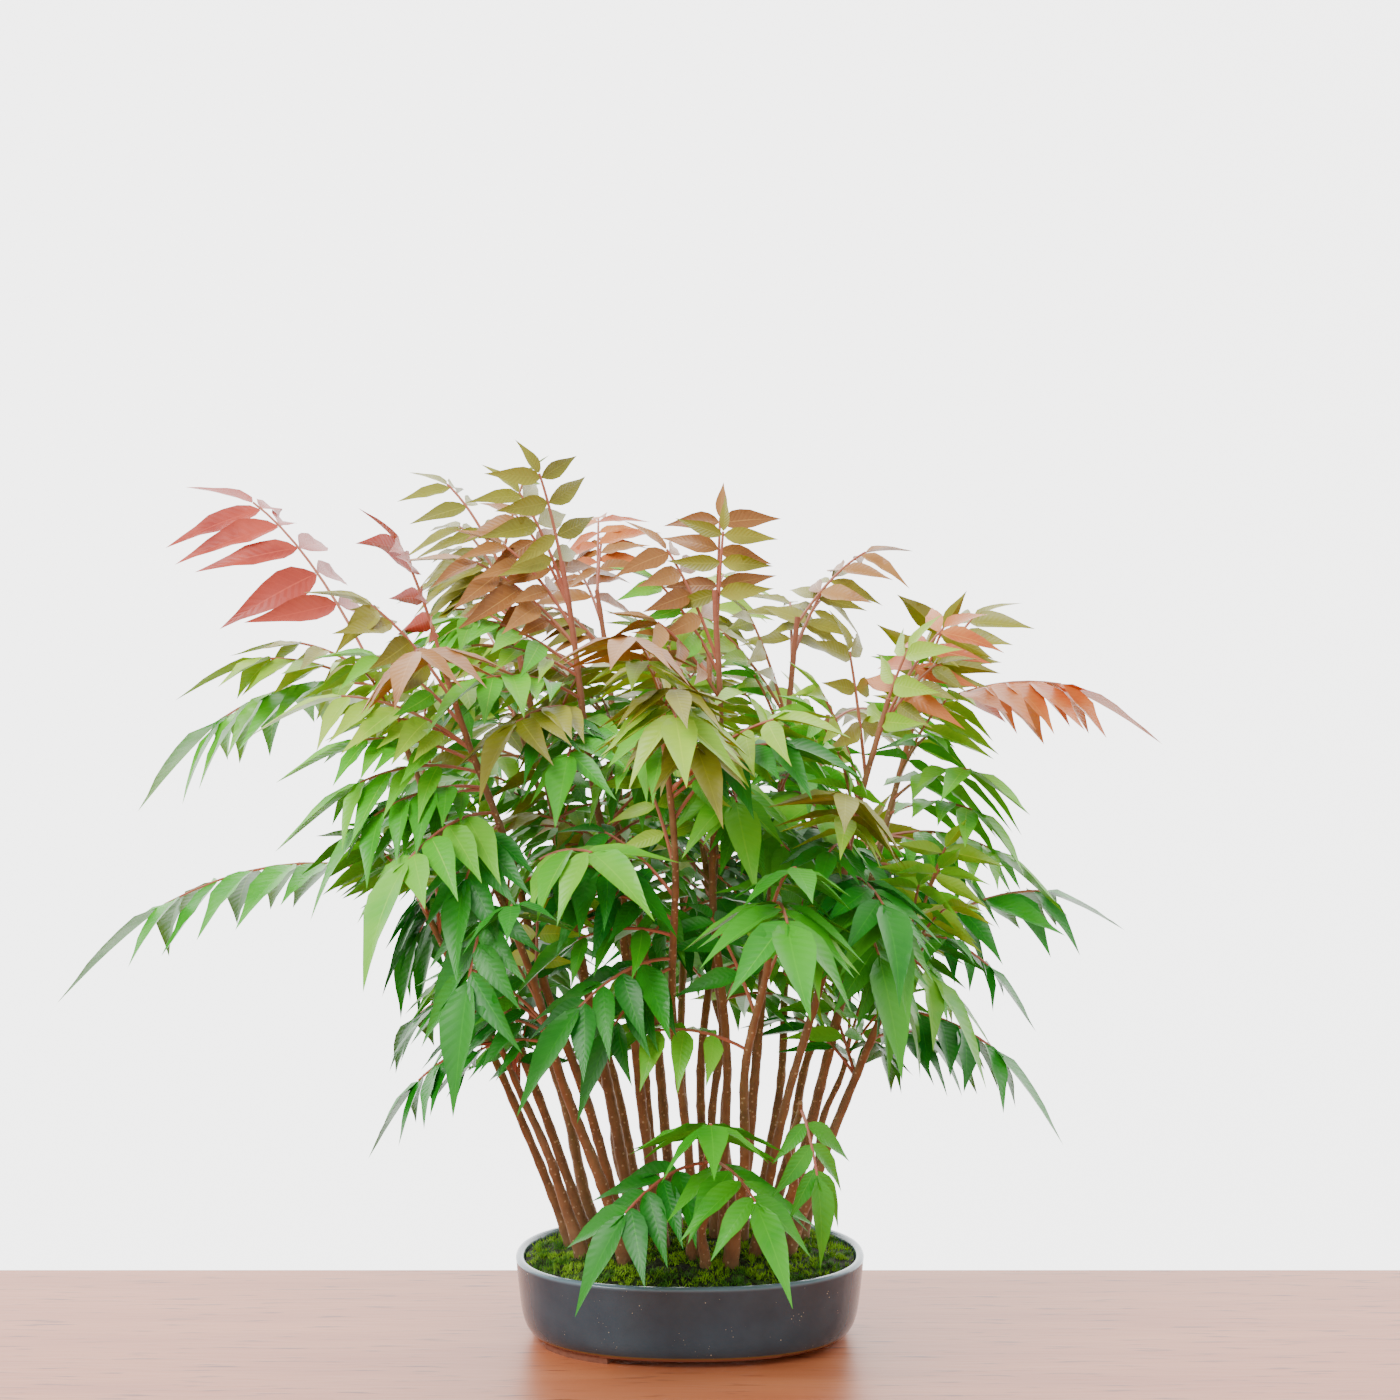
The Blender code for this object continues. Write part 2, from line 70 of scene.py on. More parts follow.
# The pot: an oval of stoneware under a dark slate-blue glaze with pale specks. The
# rounded lip is painted paler grey as a painted highlight, and the glaze stops short of
# the foot, on bare clay.
POT_LENGTH = 0.180
POT_WIDTH = 0.128
POT_HEIGHT = 0.042
POT_WALL = 0.0045
POT_OVAL_POWER = 2.3
POT_SIDES = 128
POT_LEVELS = 16
WALL_LEAN = 0.0045
WALL_TUCK = 0.0085
LIP = 0.0018
LIP_STEPS = 8
FLOOR_HEIGHT = 0.0095
INSIDE_HEIGHTS = (0.038, 0.030, 0.020, 0.014)
FOOT_HEIGHT = 0.0035
FOOT_TOP = 0.0055
FOOT_INSIDE = 0.0178
FOOT_OUTSIDE = 0.0098
FOOT_OUTSIDE_TOP = 0.0088
FOOT_START = 27
FOOT_ARC = 33
FOOT_STEPS = 12


def linear(colour):
    """An sRGB hex colour as linear red, green, blue and alpha."""
    shares = [int(colour[place:place + 2], 16) / 255 for place in (1, 3, 5)]
    return (*[s / 12.92 if s <= 0.04045 else ((s + 0.055) / 1.055) ** 2.4 for s in shares], 1.0)


def add_node(material, kind, inputs, output=0, **settings):
    """Add a shader node and give one of its outputs.

    An input, by its name or place, takes a constant or another node's output.
    """
    node = material.node_tree.nodes.new("ShaderNode" + kind)
    for name, value in settings.items():
        setattr(node, name, value)
    for place, value in inputs.items():
        if isinstance(value, bpy.types.NodeSocket):
            material.node_tree.links.new(value, node.inputs[place])
        else:
            node.inputs[place].default_value = value
    return node.outputs[output]


def blotches(place, millimetres, detail=3.0):
    """What a noise pattern needs for blotches about so many millimetres wide."""
    return {"Vector": place, "Scale": 1000 / millimetres / 2, "Detail": detail}


def mottle(material, place, millimetres, dark, pale, detail=3.0):
    """Two colours in blotches about so many millimetres wide."""
    share = add_node(material, "TexNoise", blotches(place, millimetres, detail))
    return add_node(material, "Mix", {0: share, 6: linear(dark), 7: linear(pale)}, 2, data_type="RGBA")


def lay_over(material, value, start, end, under, over):
    """One colour over another, where a value has passed smoothly from start to end."""
    limits = {"Value": value, "From Min": start, "From Max": end}
    share = add_node(material, "MapRange", limits, interpolation_type="SMOOTHSTEP")
    return add_node(material, "Mix", {0: share, 6: under, 7: over}, 2, data_type="RGBA")


def new_material(name, roughness):
    """A material with its surface node and the object's own coordinates."""
    material = bpy.data.materials.new(name)
    material.use_nodes = True
    surface = material.node_tree.nodes["Principled BSDF"]
    surface.inputs["Roughness"].default_value = roughness
    return material, surface, add_node(material, "TexCoord", {}, "Object")


def dress(material, surface, colour, height=None, depth=0.0002):
    """Give a surface its colour and, where stated, its fine relief."""
    material.node_tree.links.new(colour, surface.inputs["Base Color"])
    if height is not None:
        bump = add_node(material, "Bump", {"Distance": depth, "Height": height})
        material.node_tree.links.new(bump, surface.inputs["Normal"])


def add_piece(name, vertices, faces, material, slot, sharp=40, uvs=None):
    """A shape, laid out round the middle of the pot, as a piece of the plant."""
    name = name.replace(" ", "_")
    mesh = bpy.data.meshes.new(name)
    mesh.from_pydata([tuple(point + POT_MIDDLE) for point in vertices], [], faces)
    mesh.materials.append(material)
    mesh.shade_smooth()
    mesh.set_sharp_from_angle(angle=math.radians(sharp))
    if uvs:
        layer = mesh.uv_layers.new(name="blade")
        layer.data.foreach_set("uv", [part for loop in mesh.loops for part in uvs[loop.vertex_index]])
    piece = bpy.data.objects.new(name, mesh)
    bpy.context.scene.collection.objects.link(piece)
    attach(piece, "root")
    return piece


def skin(rings):
    """Vertices and faces of the closed shape through rings of equally many points."""
    sides = len(rings[0])
    vertices = [point for ring in rings for point in ring]
    faces = [tuple(reversed(range(sides)))]
    for start in range(0, sides * (len(rings) - 1), sides):
        for side in range(sides):
            after = (side + 1) % sides
            faces.append((start + side, start + after, start + sides + after, start + sides + side))
    faces.append(tuple(range(len(vertices) - sides, len(vertices))))
    return vertices, faces


def gather(shapes):
    """Several shapes as the vertices and faces of one mesh."""
    vertices = []
    faces = []
    for shape_vertices, shape_faces in shapes:
        faces += [tuple(index + len(vertices) for index in face) for face in shape_faces]
        vertices += shape_vertices
    return vertices, faces


def on_oval(angle, inset, height, scale=1.0):
    """A point inside the rim's outline, by the given inset."""
    half_length = (POT_LENGTH / 2 - inset) * scale
    half_width = (POT_WIDTH / 2 - inset) * scale
    along = math.copysign(abs(math.cos(angle)) ** (2 / POT_OVAL_POWER), math.cos(angle))
    across = math.copysign(abs(math.sin(angle)) ** (2 / POT_OVAL_POWER), math.sin(angle))
    return Vector((half_length * along, half_width * across, height))


def oval(inset, height, scale=1.0, sides=POT_SIDES):
    """A ring of such points."""
    return [on_oval(math.tau * side / sides, inset, height, scale) for side in range(sides)]


def wall_inset(height):
    """How far the pot's outer wall stands in from the rim at a height."""
    below = max(0.0, POT_HEIGHT - height) / POT_HEIGHT
    return WALL_LEAN * below + WALL_TUCK * below ** 8


# Stoneware glaze: blotches 9 mm wide, specks 2 mm apart that come in patches
glaze, surface, place = new_material("slate-blue stoneware glaze", 0.22)
body = mottle(glaze, place, 9.0, "#1f3a48", "#3d5b6a")
specks = add_node(glaze, "TexVoronoi", {"Vector": place, "Scale": 1000 / 2.0})
patches = add_node(glaze, "TexNoise", blotches(place, 5.0, 1.0))
grains = add_node(glaze, "Math", {0: specks, 1: patches}, operation="ADD")
body = lay_over(glaze, grains, 0.50, 0.42, body, linear("#a9a893"))
height = add_node(glaze, "SeparateXYZ", {"Vector": place}, "Z")
# Painted highlight: the top of the rounded lip is painted paler grey-blue
body = lay_over(glaze, height, 0.0395, 0.0415, body, linear("#6a808d"))
body = lay_over(glaze, height, 0.0062, 0.0052, body, linear("#7a6a34"))
body = lay_over(glaze, height, 0.0052, 0.0046, body, linear("#8a5844"))
surface.inputs["Coat Weight"].default_value = 0.4
dress(glaze, surface, body, add_node(glaze, "TexNoise", blotches(place, 3.0)), 0.0001)

wall_height = POT_HEIGHT - LIP - FOOT_HEIGHT
levels = [FOOT_HEIGHT + wall_height * step / POT_LEVELS for step in range(POT_LEVELS + 1)]
profile = [(wall_inset(level), level) for level in levels]
for step in range(1, LIP_STEPS):
    turn = math.pi * step / LIP_STEPS
    half_wall = POT_WALL / 2
    profile.append((half_wall - half_wall * math.cos(turn), POT_HEIGHT - LIP + LIP * math.sin(turn)))
profile += [(wall_inset(level) + POT_WALL, level) for level in INSIDE_HEIGHTS]
profile.append((wall_inset(FLOOR_HEIGHT) + POT_WALL + 0.003, FLOOR_HEIGHT))
pot = add_piece("stoneware pot", *skin([oval(*ring) for ring in profile]), glaze, "glaze", sharp=50)
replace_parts(pot, "pot")

# Bare clay: red-brown and gritty, grains about 1 mm wide
clay, surface, place = new_material("bare stoneware clay", 0.8)
grit = mottle(clay, place, 1.2, "#6a4233", "#a06a50")
dress(clay, surface, grit, add_node(clay, "TexNoise", blotches(place, 0.6)), 0.0001)

# Known faults: the mirrored arcs of the odd quarters fall on those of the even ones,
# so the front right and back left corners have no foot. All faces look inwards.
feet = []
for quarter in range(4):
    angles = [
        math.tau * quarter / 4 + math.radians(FOOT_START + FOOT_ARC * step / FOOT_STEPS)
        for step in range(FOOT_STEPS + 1)
    ]
    if quarter % 2:
        angles = [math.pi * (quarter + 1) - angle for angle in angles]
    rings = []
    for angle in sorted(angles):
        rings.append([
            on_oval(angle, FOOT_INSIDE, 0.0),
            on_oval(angle, FOOT_OUTSIDE, 0.0),
            on_oval(angle, FOOT_OUTSIDE_TOP, FOOT_TOP),
            on_oval(angle, FOOT_INSIDE, FOOT_TOP),
        ])
    feet.append(skin(rings))
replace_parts(add_piece("clay feet", *gather(feet), clay, "glaze", sharp=30), "pot")


# The moss bed: soil heaped a little over the rim under a mat of cushion moss, with
# painted shade darkening the hollows between the tufts. Each tuft is a few short
# pointed shoots.
MOSS_RISE = 0.009
MOSS_BELOW_RIM = 0.002
MOSS_GAP = 0.0006
MOSS_SIDES = 96
MOSS_STEPS = 25
TUFTS = 3000
TUFT_SHOOTS = 5
TUFT_SPREAD = 0.0006
TUFT_LEAN = 0.55
TUFT_SUNK = 0.0012
TUFT_RADIUS = 0.00045
TUFT_LENGTH = 0.0034


def moss_height(x, y):
    """Height of the moss at a place inside the rim."""
    share = (x / (POT_LENGTH / 2 - POT_WALL)) ** 2 + (y / (POT_WIDTH / 2 - POT_WALL)) ** 2
    return POT_HEIGHT - MOSS_BELOW_RIM + MOSS_RISE * (1.0 - share)


# Cushion moss: yellow-green patches 7 mm wide, with painted shade in the hollows between tufts
moss, surface, place = new_material("cushion moss", 0.9)
patches = add_node(moss, "TexNoise", blotches(place, 7.0))
green = lay_over(moss, patches, 0.38, 0.60, linear("#3f7a10"), linear("#93c024"))
# Painted shade: dark green blotches about 2 mm wide stand for the shaded hollows
painted_hollow_shade = add_node(moss, "TexNoise", blotches(place, 2.2))
green = lay_over(moss, painted_hollow_shade, 0.36, 0.50, linear("#2a3a12"), green)
dress(moss, surface, green, add_node(moss, "TexNoise", blotches(place, 0.8)), 0.0006)

# Moist soil: nearly black, with a green film
soil, surface, place = new_material("moist soil under moss", 0.95)
film = add_node(soil, "TexNoise", blotches(place, 3.0))
brown = lay_over(soil, film, 0.40, 0.62, linear("#1e1c0e"), linear("#3f5a1c"))
dress(soil, surface, brown, add_node(soil, "TexNoise", blotches(place, 1.0)), 0.0008)

rings = [
    oval(0.0125, 0.012, sides=MOSS_SIDES),
    oval(wall_inset(0.030) + POT_WALL + MOSS_GAP, 0.030, sides=MOSS_SIDES),
]
for step in range(MOSS_STEPS + 1):
    ring = oval(POT_WALL + MOSS_GAP, 0.0, 1.0 - 0.97 * step / MOSS_STEPS, sides=MOSS_SIDES)
    for point in ring:
        lump = noise.noise(point * 160) * 0.0016 + noise.noise(point * 420) * 0.0008
        point.z = moss_height(point.x, point.y) + lump * min(1.0, step / 3) - MOSS_GAP
    rings.append(ring)
bed = add_piece("moss bed", *skin(rings), soil, "moss", sharp=80)
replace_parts(bed, "moss_bed")

chance = random.Random("moss tufts")
tufts = []
for _ in range(TUFTS):
    angle = chance.uniform(0.0, math.tau)
    spot = on_oval(angle, POT_WALL + 0.0010, 0.0, math.sqrt(chance.random()) * 0.985)
    if noise.noise(spot * 90) < -0.30:
        continue
    size = chance.uniform(0.7, 1.25) * (1.0 + 0.5 * noise.noise(spot * 150))
    for _ in range(TUFT_SHOOTS):
        lean = Vector((chance.gauss(0, TUFT_LEAN), chance.gauss(0, TUFT_LEAN), 1.0)).normalized()
        root = spot + Vector((chance.gauss(0, TUFT_SPREAD), chance.gauss(0, TUFT_SPREAD), 0.0))
        root.z = moss_height(root.x, root.y) - TUFT_SUNK
        across = lean.orthogonal().normalized() * (TUFT_RADIUS * size)
        base = [root + Quaternion(lean, math.tau * side / 3) @ across for side in range(3)]
        tip = root + lean * (TUFT_LENGTH * size)
        tufts.append((base + [tip], [(2, 1, 0), (0, 1, 3), (1, 2, 3), (2, 0, 3)]))
mat = add_piece("moss tufts", *gather(tufts), moss, "moss", sharp=70)
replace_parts(mat, "moss_bed")


# The stems: a clump of young sumac stems, their thin brown bark marked with pale
# lenticels and leaf scars, turning red where the wood is this year's.
Ring = namedtuple("Ring", "count height reach_x reach_y foot first")
RINGS = (
    Ring(count=6, height=0.388, reach_x=0.074, reach_y=0.066, foot=0.52, first=0),
    Ring(count=8, height=0.330, reach_x=0.140, reach_y=0.122, foot=0.78, first=180),
    Ring(count=7, height=0.232, reach_x=0.136, reach_y=0.116, foot=1.00, first=186),
    Ring(count=2, height=0.285, reach_x=0.030, reach_y=0.026, foot=0.24, first=30),
    Ring(count=4, height=0.150, reach_x=0.104, reach_y=0.090, foot=0.95, first=208),
)
FRONT_SPROUT_TIP = (0.008, -0.058, 0.104)
CROWN_SHIFT_X = -0.022
CROWN_TILT = 0.012
STEM_PATCH_X = 0.062
STEM_PATCH_Y = 0.037
STEM_SPACING = 0.0030
STEM_TRIES = 60
STEM_BOW = 0.012
STEM_WAVE = 0.0035
STEM_FOOT_RADIUS = 0.0033
STEM_TIP_RADIUS = 0.0014
ROOT_FLARE = 0.0014
ROOT_FLARE_HEIGHT = 0.009
STEM_SIDES = 12
STEM_RING_SPACING = 0.0035
STEM_SUNK = 0.004
STEM_SLIMMER = 0.93
SCAR_SPACING = 0.017
SCAR_RISE = 0.12
SCAR_SHARPNESS = 6
Stem = namedtuple("Stem", "name foot tip wave_phase waves foot_radius")


def new_stem(number, foot, tip, thickness, chance):
    """One stem from its foot on the moss to the tip of its shoot."""
    return Stem(
        name=f"{number:02d}",
        foot=Vector((*foot, moss_height(*foot))),
        tip=Vector(tip),
        wave_phase=chance.uniform(0.0, math.tau),
        waves=chance.uniform(1.2, 2.2),
        foot_radius=STEM_FOOT_RADIUS * thickness * chance.uniform(0.82, 1.12),
    )


def plan_stem(number, ring, place, chance):
    """A stem for one place on a ring, with its foot and tip a little off the regular place."""
    angle = math.radians(ring.first) + math.tau * place / ring.count + chance.uniform(-0.12, 0.12)
    reach = chance.uniform(0.93, 1.07)
    lean = CROWN_SHIFT_X * ring.height / RINGS[0].height
    tip = (
        lean + ring.reach_x * reach * math.cos(angle),
        ring.reach_y * reach * math.sin(angle),
        ring.height - CROWN_TILT * math.cos(angle) + chance.uniform(-0.008, 0.008),
    )
    share = min(1.0, ring.foot * chance.uniform(0.8, 1.1))
    turned = angle + chance.uniform(-0.25, 0.25)
    foot = (STEM_PATCH_X * share * math.cos(turned), STEM_PATCH_Y * share * math.sin(turned))
    return new_stem(number, foot, tip, 1.0, chance)


def stem_point(stem, share):
    """A point on a stem: a slightly bowed line with a wave that dies out at both ends."""
    upright = stem.foot.lerp(stem.tip, 0.5) + Vector((0.0, 0.0, STEM_BOW))
    point = stem.foot.lerp(upright, share).lerp(upright.lerp(stem.tip, share), share)
    sideways = Vector((stem.foot.y - stem.tip.y, stem.tip.x - stem.foot.x, 0.0)).normalized()
    swing = math.sin(stem.wave_phase + math.tau * stem.waves * share) * math.sin(math.pi * share)
    return point + sideways * (STEM_WAVE * swing)


def stem_heading(stem, share):
    """The direction in which a stem grows at a point."""
    before = stem_point(stem, max(0.0, share - 0.01))
    return (stem_point(stem, min(1.0, share + 0.01)) - before).normalized()


def stem_radius(stem, share):
    """A stem's radius: it tapers towards the tip and flares at the root."""
    taper = stem.foot_radius + (STEM_TIP_RADIUS - stem.foot_radius) * min(1.0, share) ** 0.8
    return taper + ROOT_FLARE * math.exp(-share * (stem.tip - stem.foot).length / ROOT_FLARE_HEIGHT)


def room_round(stem, stems):
    """The narrowest space between a stem and the others, measured level with it."""
    narrowest = STEM_SPACING
    for step in range(16):
        share = step / 15
        point = stem_point(stem, share)
        for other in stems:
            level = (point.z - other.foot.z) / (other.tip.z - other.foot.z)
            if level < 1.05:
                level = min(max(level, 0.0), 1.0)
                between = (point - stem_point(other, level)).length
                narrowest = min(narrowest, between - stem_radius(stem, share) - stem_radius(other, level))
    return narrowest


def tube(points, headings, radii, sides, relief=None):
    """Vertices and faces of a tube; its rings are square to the headings and don't twist."""
    across = headings[0].orthogonal().normalized()
    before = headings[0]
    rings = []
    for point, heading, radius in zip(points, headings, radii):
        across = before.rotation_difference(heading) @ across
        before = heading
        ring = []
        for side in range(sides):
            arm = Quaternion(heading, math.tau * side / sides) @ across
            grown = radius * (1.0 + relief(point + arm * radius)) if relief else radius
            ring.append(point + arm * grown)
        rings.append(ring)
    return skin(rings)


def bark_relief(point):
    """How far the bark stands out at a point, as a share of the radius."""
    return 0.10 * noise.noise(point * 210) + 0.07 * noise.noise(point * 620)


def leaf_scar(distance):
    """How much thicker a stem is at a distance along it, where an old leaf sat."""
    from_scar = (distance / SCAR_SPACING) % 1.0 - 0.5
    return 1.0 + SCAR_RISE * math.exp(-(from_scar * SCAR_SHARPNESS) ** 2)


stems = []
for ring in RINGS:
    for spot in range(ring.count):
        chance = random.Random(f"stem {ring.height} {spot}")
        tries = [plan_stem(len(stems) + 1, ring, spot, chance) for _ in range(STEM_TRIES)]
        stems.append(max(tries, key=lambda stem: min(STEM_SPACING, room_round(stem, stems))))
chance = random.Random("front sprout")
sprout_foot = (FRONT_SPROUT_TIP[0], -STEM_PATCH_Y)
stems.append(new_stem(len(stems) + 1, sprout_foot, FRONT_SPROUT_TIP, 0.6, chance))

# Young bark: brown in blotches 4 mm wide, lenticels 3 mm apart, red from 26 cm up
bark, surface, place = new_material("young sumac bark", 0.7)
brown = mottle(bark, place, 4.0, "#5e4029", "#a67c54")
lenticels = add_node(bark, "TexVoronoi", {"Vector": place, "Scale": 1000 / 3.0})
brown = lay_over(bark, lenticels, 0.24, 0.16, brown, linear("#b89a78"))
height = add_node(bark, "SeparateXYZ", {"Vector": place}, "Z")
brown = lay_over(bark, height, 0.26, 0.39, brown, linear("#a8604a"))
dress(bark, surface, brown, add_node(bark, "TexNoise", blotches(place, 1.0)), 0.0004)

limbs = []
for stem in stems:
    length = (stem.tip - stem.foot).length
    count = int(length / STEM_RING_SPACING)
    shares = [step / count for step in range(count + 1)]
    points = [stem_point(stem, share) for share in shares]
    points[0] = points[0] - Vector((0.0, 0.0, STEM_SUNK))
    headings = [stem_heading(stem, share) for share in shares]
    radii = [stem_radius(stem, share) * STEM_SLIMMER * leaf_scar(share * length) for share in shares]
    limbs.append(tube(points, headings, radii, STEM_SIDES, bark_relief))
wood = add_piece("sumac stems", *gather(limbs), bark, "bark", sharp=70)
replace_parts(wood, *[f"stem_{stem.name}" for stem in stems])


# The leaves: compound sumac leaves, each a thin red stalk that arches over with
# pairs of folded, drooping leaflets. Every leaf has one autumn tint of its own.
LONG_LEAF_TIPS = (
    (-0.318, -0.040, 0.183),
    (-0.298, 0.020, 0.270),
    (-0.271, 0.040, 0.447),
    (-0.258, -0.040, 0.333),
    (0.243, -0.020, 0.312),
    (0.226, -0.010, 0.215),
    (0.172, -0.050, 0.165),
    (-0.165, -0.030, 0.098),
    (-0.105, -0.150, 0.145),
    (-0.057, -0.105, 0.046),
    (0.065, -0.105, 0.064),
    (-0.078, 0.012, 0.458),
    (-0.150, 0.030, 0.452),
    (0.172, 0.020, 0.385),
    (-0.125, -0.185, 0.330),
    (-0.060, 0.205, 0.300),
    (0.050, 0.205, 0.250),
    (-0.165, 0.155, 0.215),
    (0.030, 0.170, 0.130),
)
LONG_LEAF_ROOTS = (0.90, 0.80, 0.97, 0.70, 0.55)
SHOOT_LENGTH = 0.052
LEAF_ZONE = 0.150
LEAF_LENGTH = 0.104
LEAF_SHORTER = 0.35
LEAF_SAG = 0.22
LEAF_ATTEMPTS = 160
ARCH_RISE = 0.32
CROWN_RADIUS = 0.150
OUTWARD_LEAN = 0.9
OUTWARD_ROLL = 0.35
GOLDEN_ANGLE = math.radians(137.5)
STALK_RADIUS = 0.00095
STALK_TAPER = 0.00055
STALK_STEPS = 9
LONGEST_LEAFLET = 0.055
SHORTEST_LEAFLET = 0.028
LEAFLET_SHARE = 0.41
LAST_LEAFLET = 0.42
MIDRIB_LOW = 0.0004
MIDRIB_HIGH = 0.0001
REACH_SPARE = 0.006
MOSS_SPARE = 0.004
LOWEST_LEAF = 0.012

# A leaflet's outline: how wide it is, at so large a share of its length
BLADE = ((0.02, 0.10), (0.09, 0.52), (0.20, 0.88), (0.34, 1.0), (0.50, 0.84), (0.66, 0.54), (0.82, 0.24))


def arch(root, tip, share):
    """A point on the curve that a leaf takes from its root to its tip."""
    middle = root.lerp(tip, 0.5) + Vector((0.0, 0.0, (tip - root).length * ARCH_RISE))
    return root.lerp(middle, share).lerp(middle.lerp(tip, share), share)


def arch_heading(root, tip, share):
    """The direction of that curve at a point."""
    return (arch(root, tip, share + 0.01) - arch(root, tip, share - 0.01)).normalized()


def leaflet(base, heading, over, length, number, chance):
    """A closed leaflet: folded along its midrib, widest low down, with a drawn-out tip.

    Its number is the whole part of its UV coordinate along it, and picks its shade.
    """
    along = heading.normalized()
    over = (over - along * over.dot(along)).normalized()
    across = over.cross(along)
    half_width = length * chance.uniform(0.135, 0.175)
    fold = chance.uniform(0.25, 0.55)
    droop = chance.uniform(0.05, 0.26)
    curl = chance.uniform(-0.10, 0.10)
    vertices = []
    uvs = []
    for share, width in BLADE:
        middle = base + along * (length * share) - over * (length * droop * share ** 2)
        middle += across * (length * curl * share ** 2)
        side = across * (half_width * width)
        wave = 0.10 * math.sin(share * 17 + number)
        up = over * (half_width * width * (fold + wave))
        down = over * (half_width * width * (fold - wave))
        vertices += [middle - side + up, middle - over * MIDRIB_LOW]
        vertices += [middle + side + down, middle + over * MIDRIB_HIGH]
        uvs += [(place, number + share) for place in (0.0, 0.5, 1.0, 0.5)]
    tip = base + along * length - over * (length * droop) + across * (length * curl)
    vertices.append(tip)
    uvs.append((0.5, number + 0.99))
    faces = [(3, 2, 1, 0)]
    for start in range(0, len(vertices) - 5, 4):
        for side in range(4):
            after = (side + 1) % 4
            faces.append((start + side, start + after, start + 4 + after, start + 4 + side))
    last = len(vertices) - 5
    faces += [(last + side, last + (side + 1) % 4, last + 4) for side in range(4)]
    return vertices, faces, uvs


def compound_leaf(root, tip, chance):
    """The stalk and the leaflets of one leaf."""
    length = (tip - root).length
    pairs = 3 if length < 0.085 else 4 if length < 0.125 else 5
    size = min(LONGEST_LEAFLET, max(SHORTEST_LEAFLET, length * LEAFLET_SHARE))
    rachis = 1.0 - min(LAST_LEAFLET, size * 1.05 / length)
    outward = Vector((root.x, root.y, 0.0)).normalized()
    sideways = (tip - root).cross(Vector((0.0, 0.0, 1.0)) + outward * OUTWARD_ROLL).normalized()
    shares = [rachis * step / STALK_STEPS for step in range(STALK_STEPS + 1)]
    points = [arch(root, tip, share) for share in shares]
    headings = [arch_heading(root, tip, share) for share in shares]
    stalk = tube(points, headings, [STALK_RADIUS - STALK_TAPER * share for share in shares], 5)
    blades = []
    for pair in range(pairs):
        middle = rachis * (0.34 + 0.60 * pair / (pairs - 1))
        forward = arch_heading(root, tip, middle)
        over = sideways.cross(forward)
        fullness = 0.86 + 0.14 * math.sin(math.pi * (pair + 1) / (pairs + 1))
        for hand in (-1.0, 1.0):
            at = arch(root, tip, middle + chance.uniform(-0.008, 0.008))
            sweep = math.radians(24 + 16 * pair / pairs + chance.uniform(-9, 9))
            heading = sideways * (hand * math.cos(sweep)) + forward * math.sin(sweep)
            heading.z -= chance.uniform(0.20, 0.60)
            grown = size * chance.uniform(0.84, 1.08) * fullness
            blades.append(leaflet(at, heading, over, grown, chance.randrange(40), chance))
    end = arch(root, tip, rachis)
    blades.append(leaflet(end, tip - end, sideways.cross(tip - end), (tip - end).length, 7, chance))
    return stalk, blades


def tree_of(shapes):
    """A search tree over some shapes, to find out what they touch."""
    return BVHTree.FromPolygons(*gather([shape[:2] for shape in shapes]))


leaves = []
leaf_trees = []
limb_trees = [tree_of([limb]) for limb in limbs]
pot_tree = tree_of([skin([oval(*ring, sides=48) for ring in profile])])
low, high = (Vector(corner) - POT_MIDDLE for corner in cad_bounds)


def in_reach(points, lowest):
    """Whether a leaf keeps to the plant's reach, clear of the moss and high enough."""
    for axis in range(3):
        if min(point[axis] for point in points) < low[axis] - REACH_SPARE:
            return False
        if max(point[axis] for point in points) > high[axis] + REACH_SPARE:
            return False
    top = moss_height(0, 0) + MOSS_SPARE
    if any(point.z < top and abs(point.x) < 0.092 and abs(point.y) < 0.066 for point in points):
        return False
    return min(point.z for point in points) >= lowest


def grow(stem, share, tip, chance, crossings, lowest):
    """Add a leaf to a stem, unless it is out of reach or its leaflets touch too much.

    They may not touch the pot or another stem. They may cross another leaf by a few
    pairs of faces, so that the dome of leaves closes.
    """
    root = stem_point(stem, share)
    stalk, blades = compound_leaf(root, tip, chance)
    if not in_reach([point for blade in blades for point in blade[0]], lowest):
        return False
    tree = tree_of(blades)
    if tree.overlap(pot_tree):
        return False
    if any(tree.overlap(other) for place, other in enumerate(limb_trees) if place != stems.index(stem)):
        return False
    middle = (root + tip) / 2
    for other_middle, other in leaf_trees:
        if (middle - other_middle).length < 0.19 and len(tree.overlap(other)) > crossings:
            return False
    leaves.append((stem, tip, stalk, blades))
    leaf_trees.append((middle, tree))
    return True


for tip in map(Vector, LONG_LEAF_TIPS):
    stem = min(stems, key=lambda each: (each.tip - tip).length)
    chance = random.Random(f"long leaf {tip.x}")
    start = 1.0 - SHOOT_LENGTH / (stem.tip - stem.foot).length
    roots = [start + (1.0 - start) * share for share in LONG_LEAF_ROOTS]
    any(grow(stem, root, tip, chance, 12, LOWEST_LEAF) for root in roots)

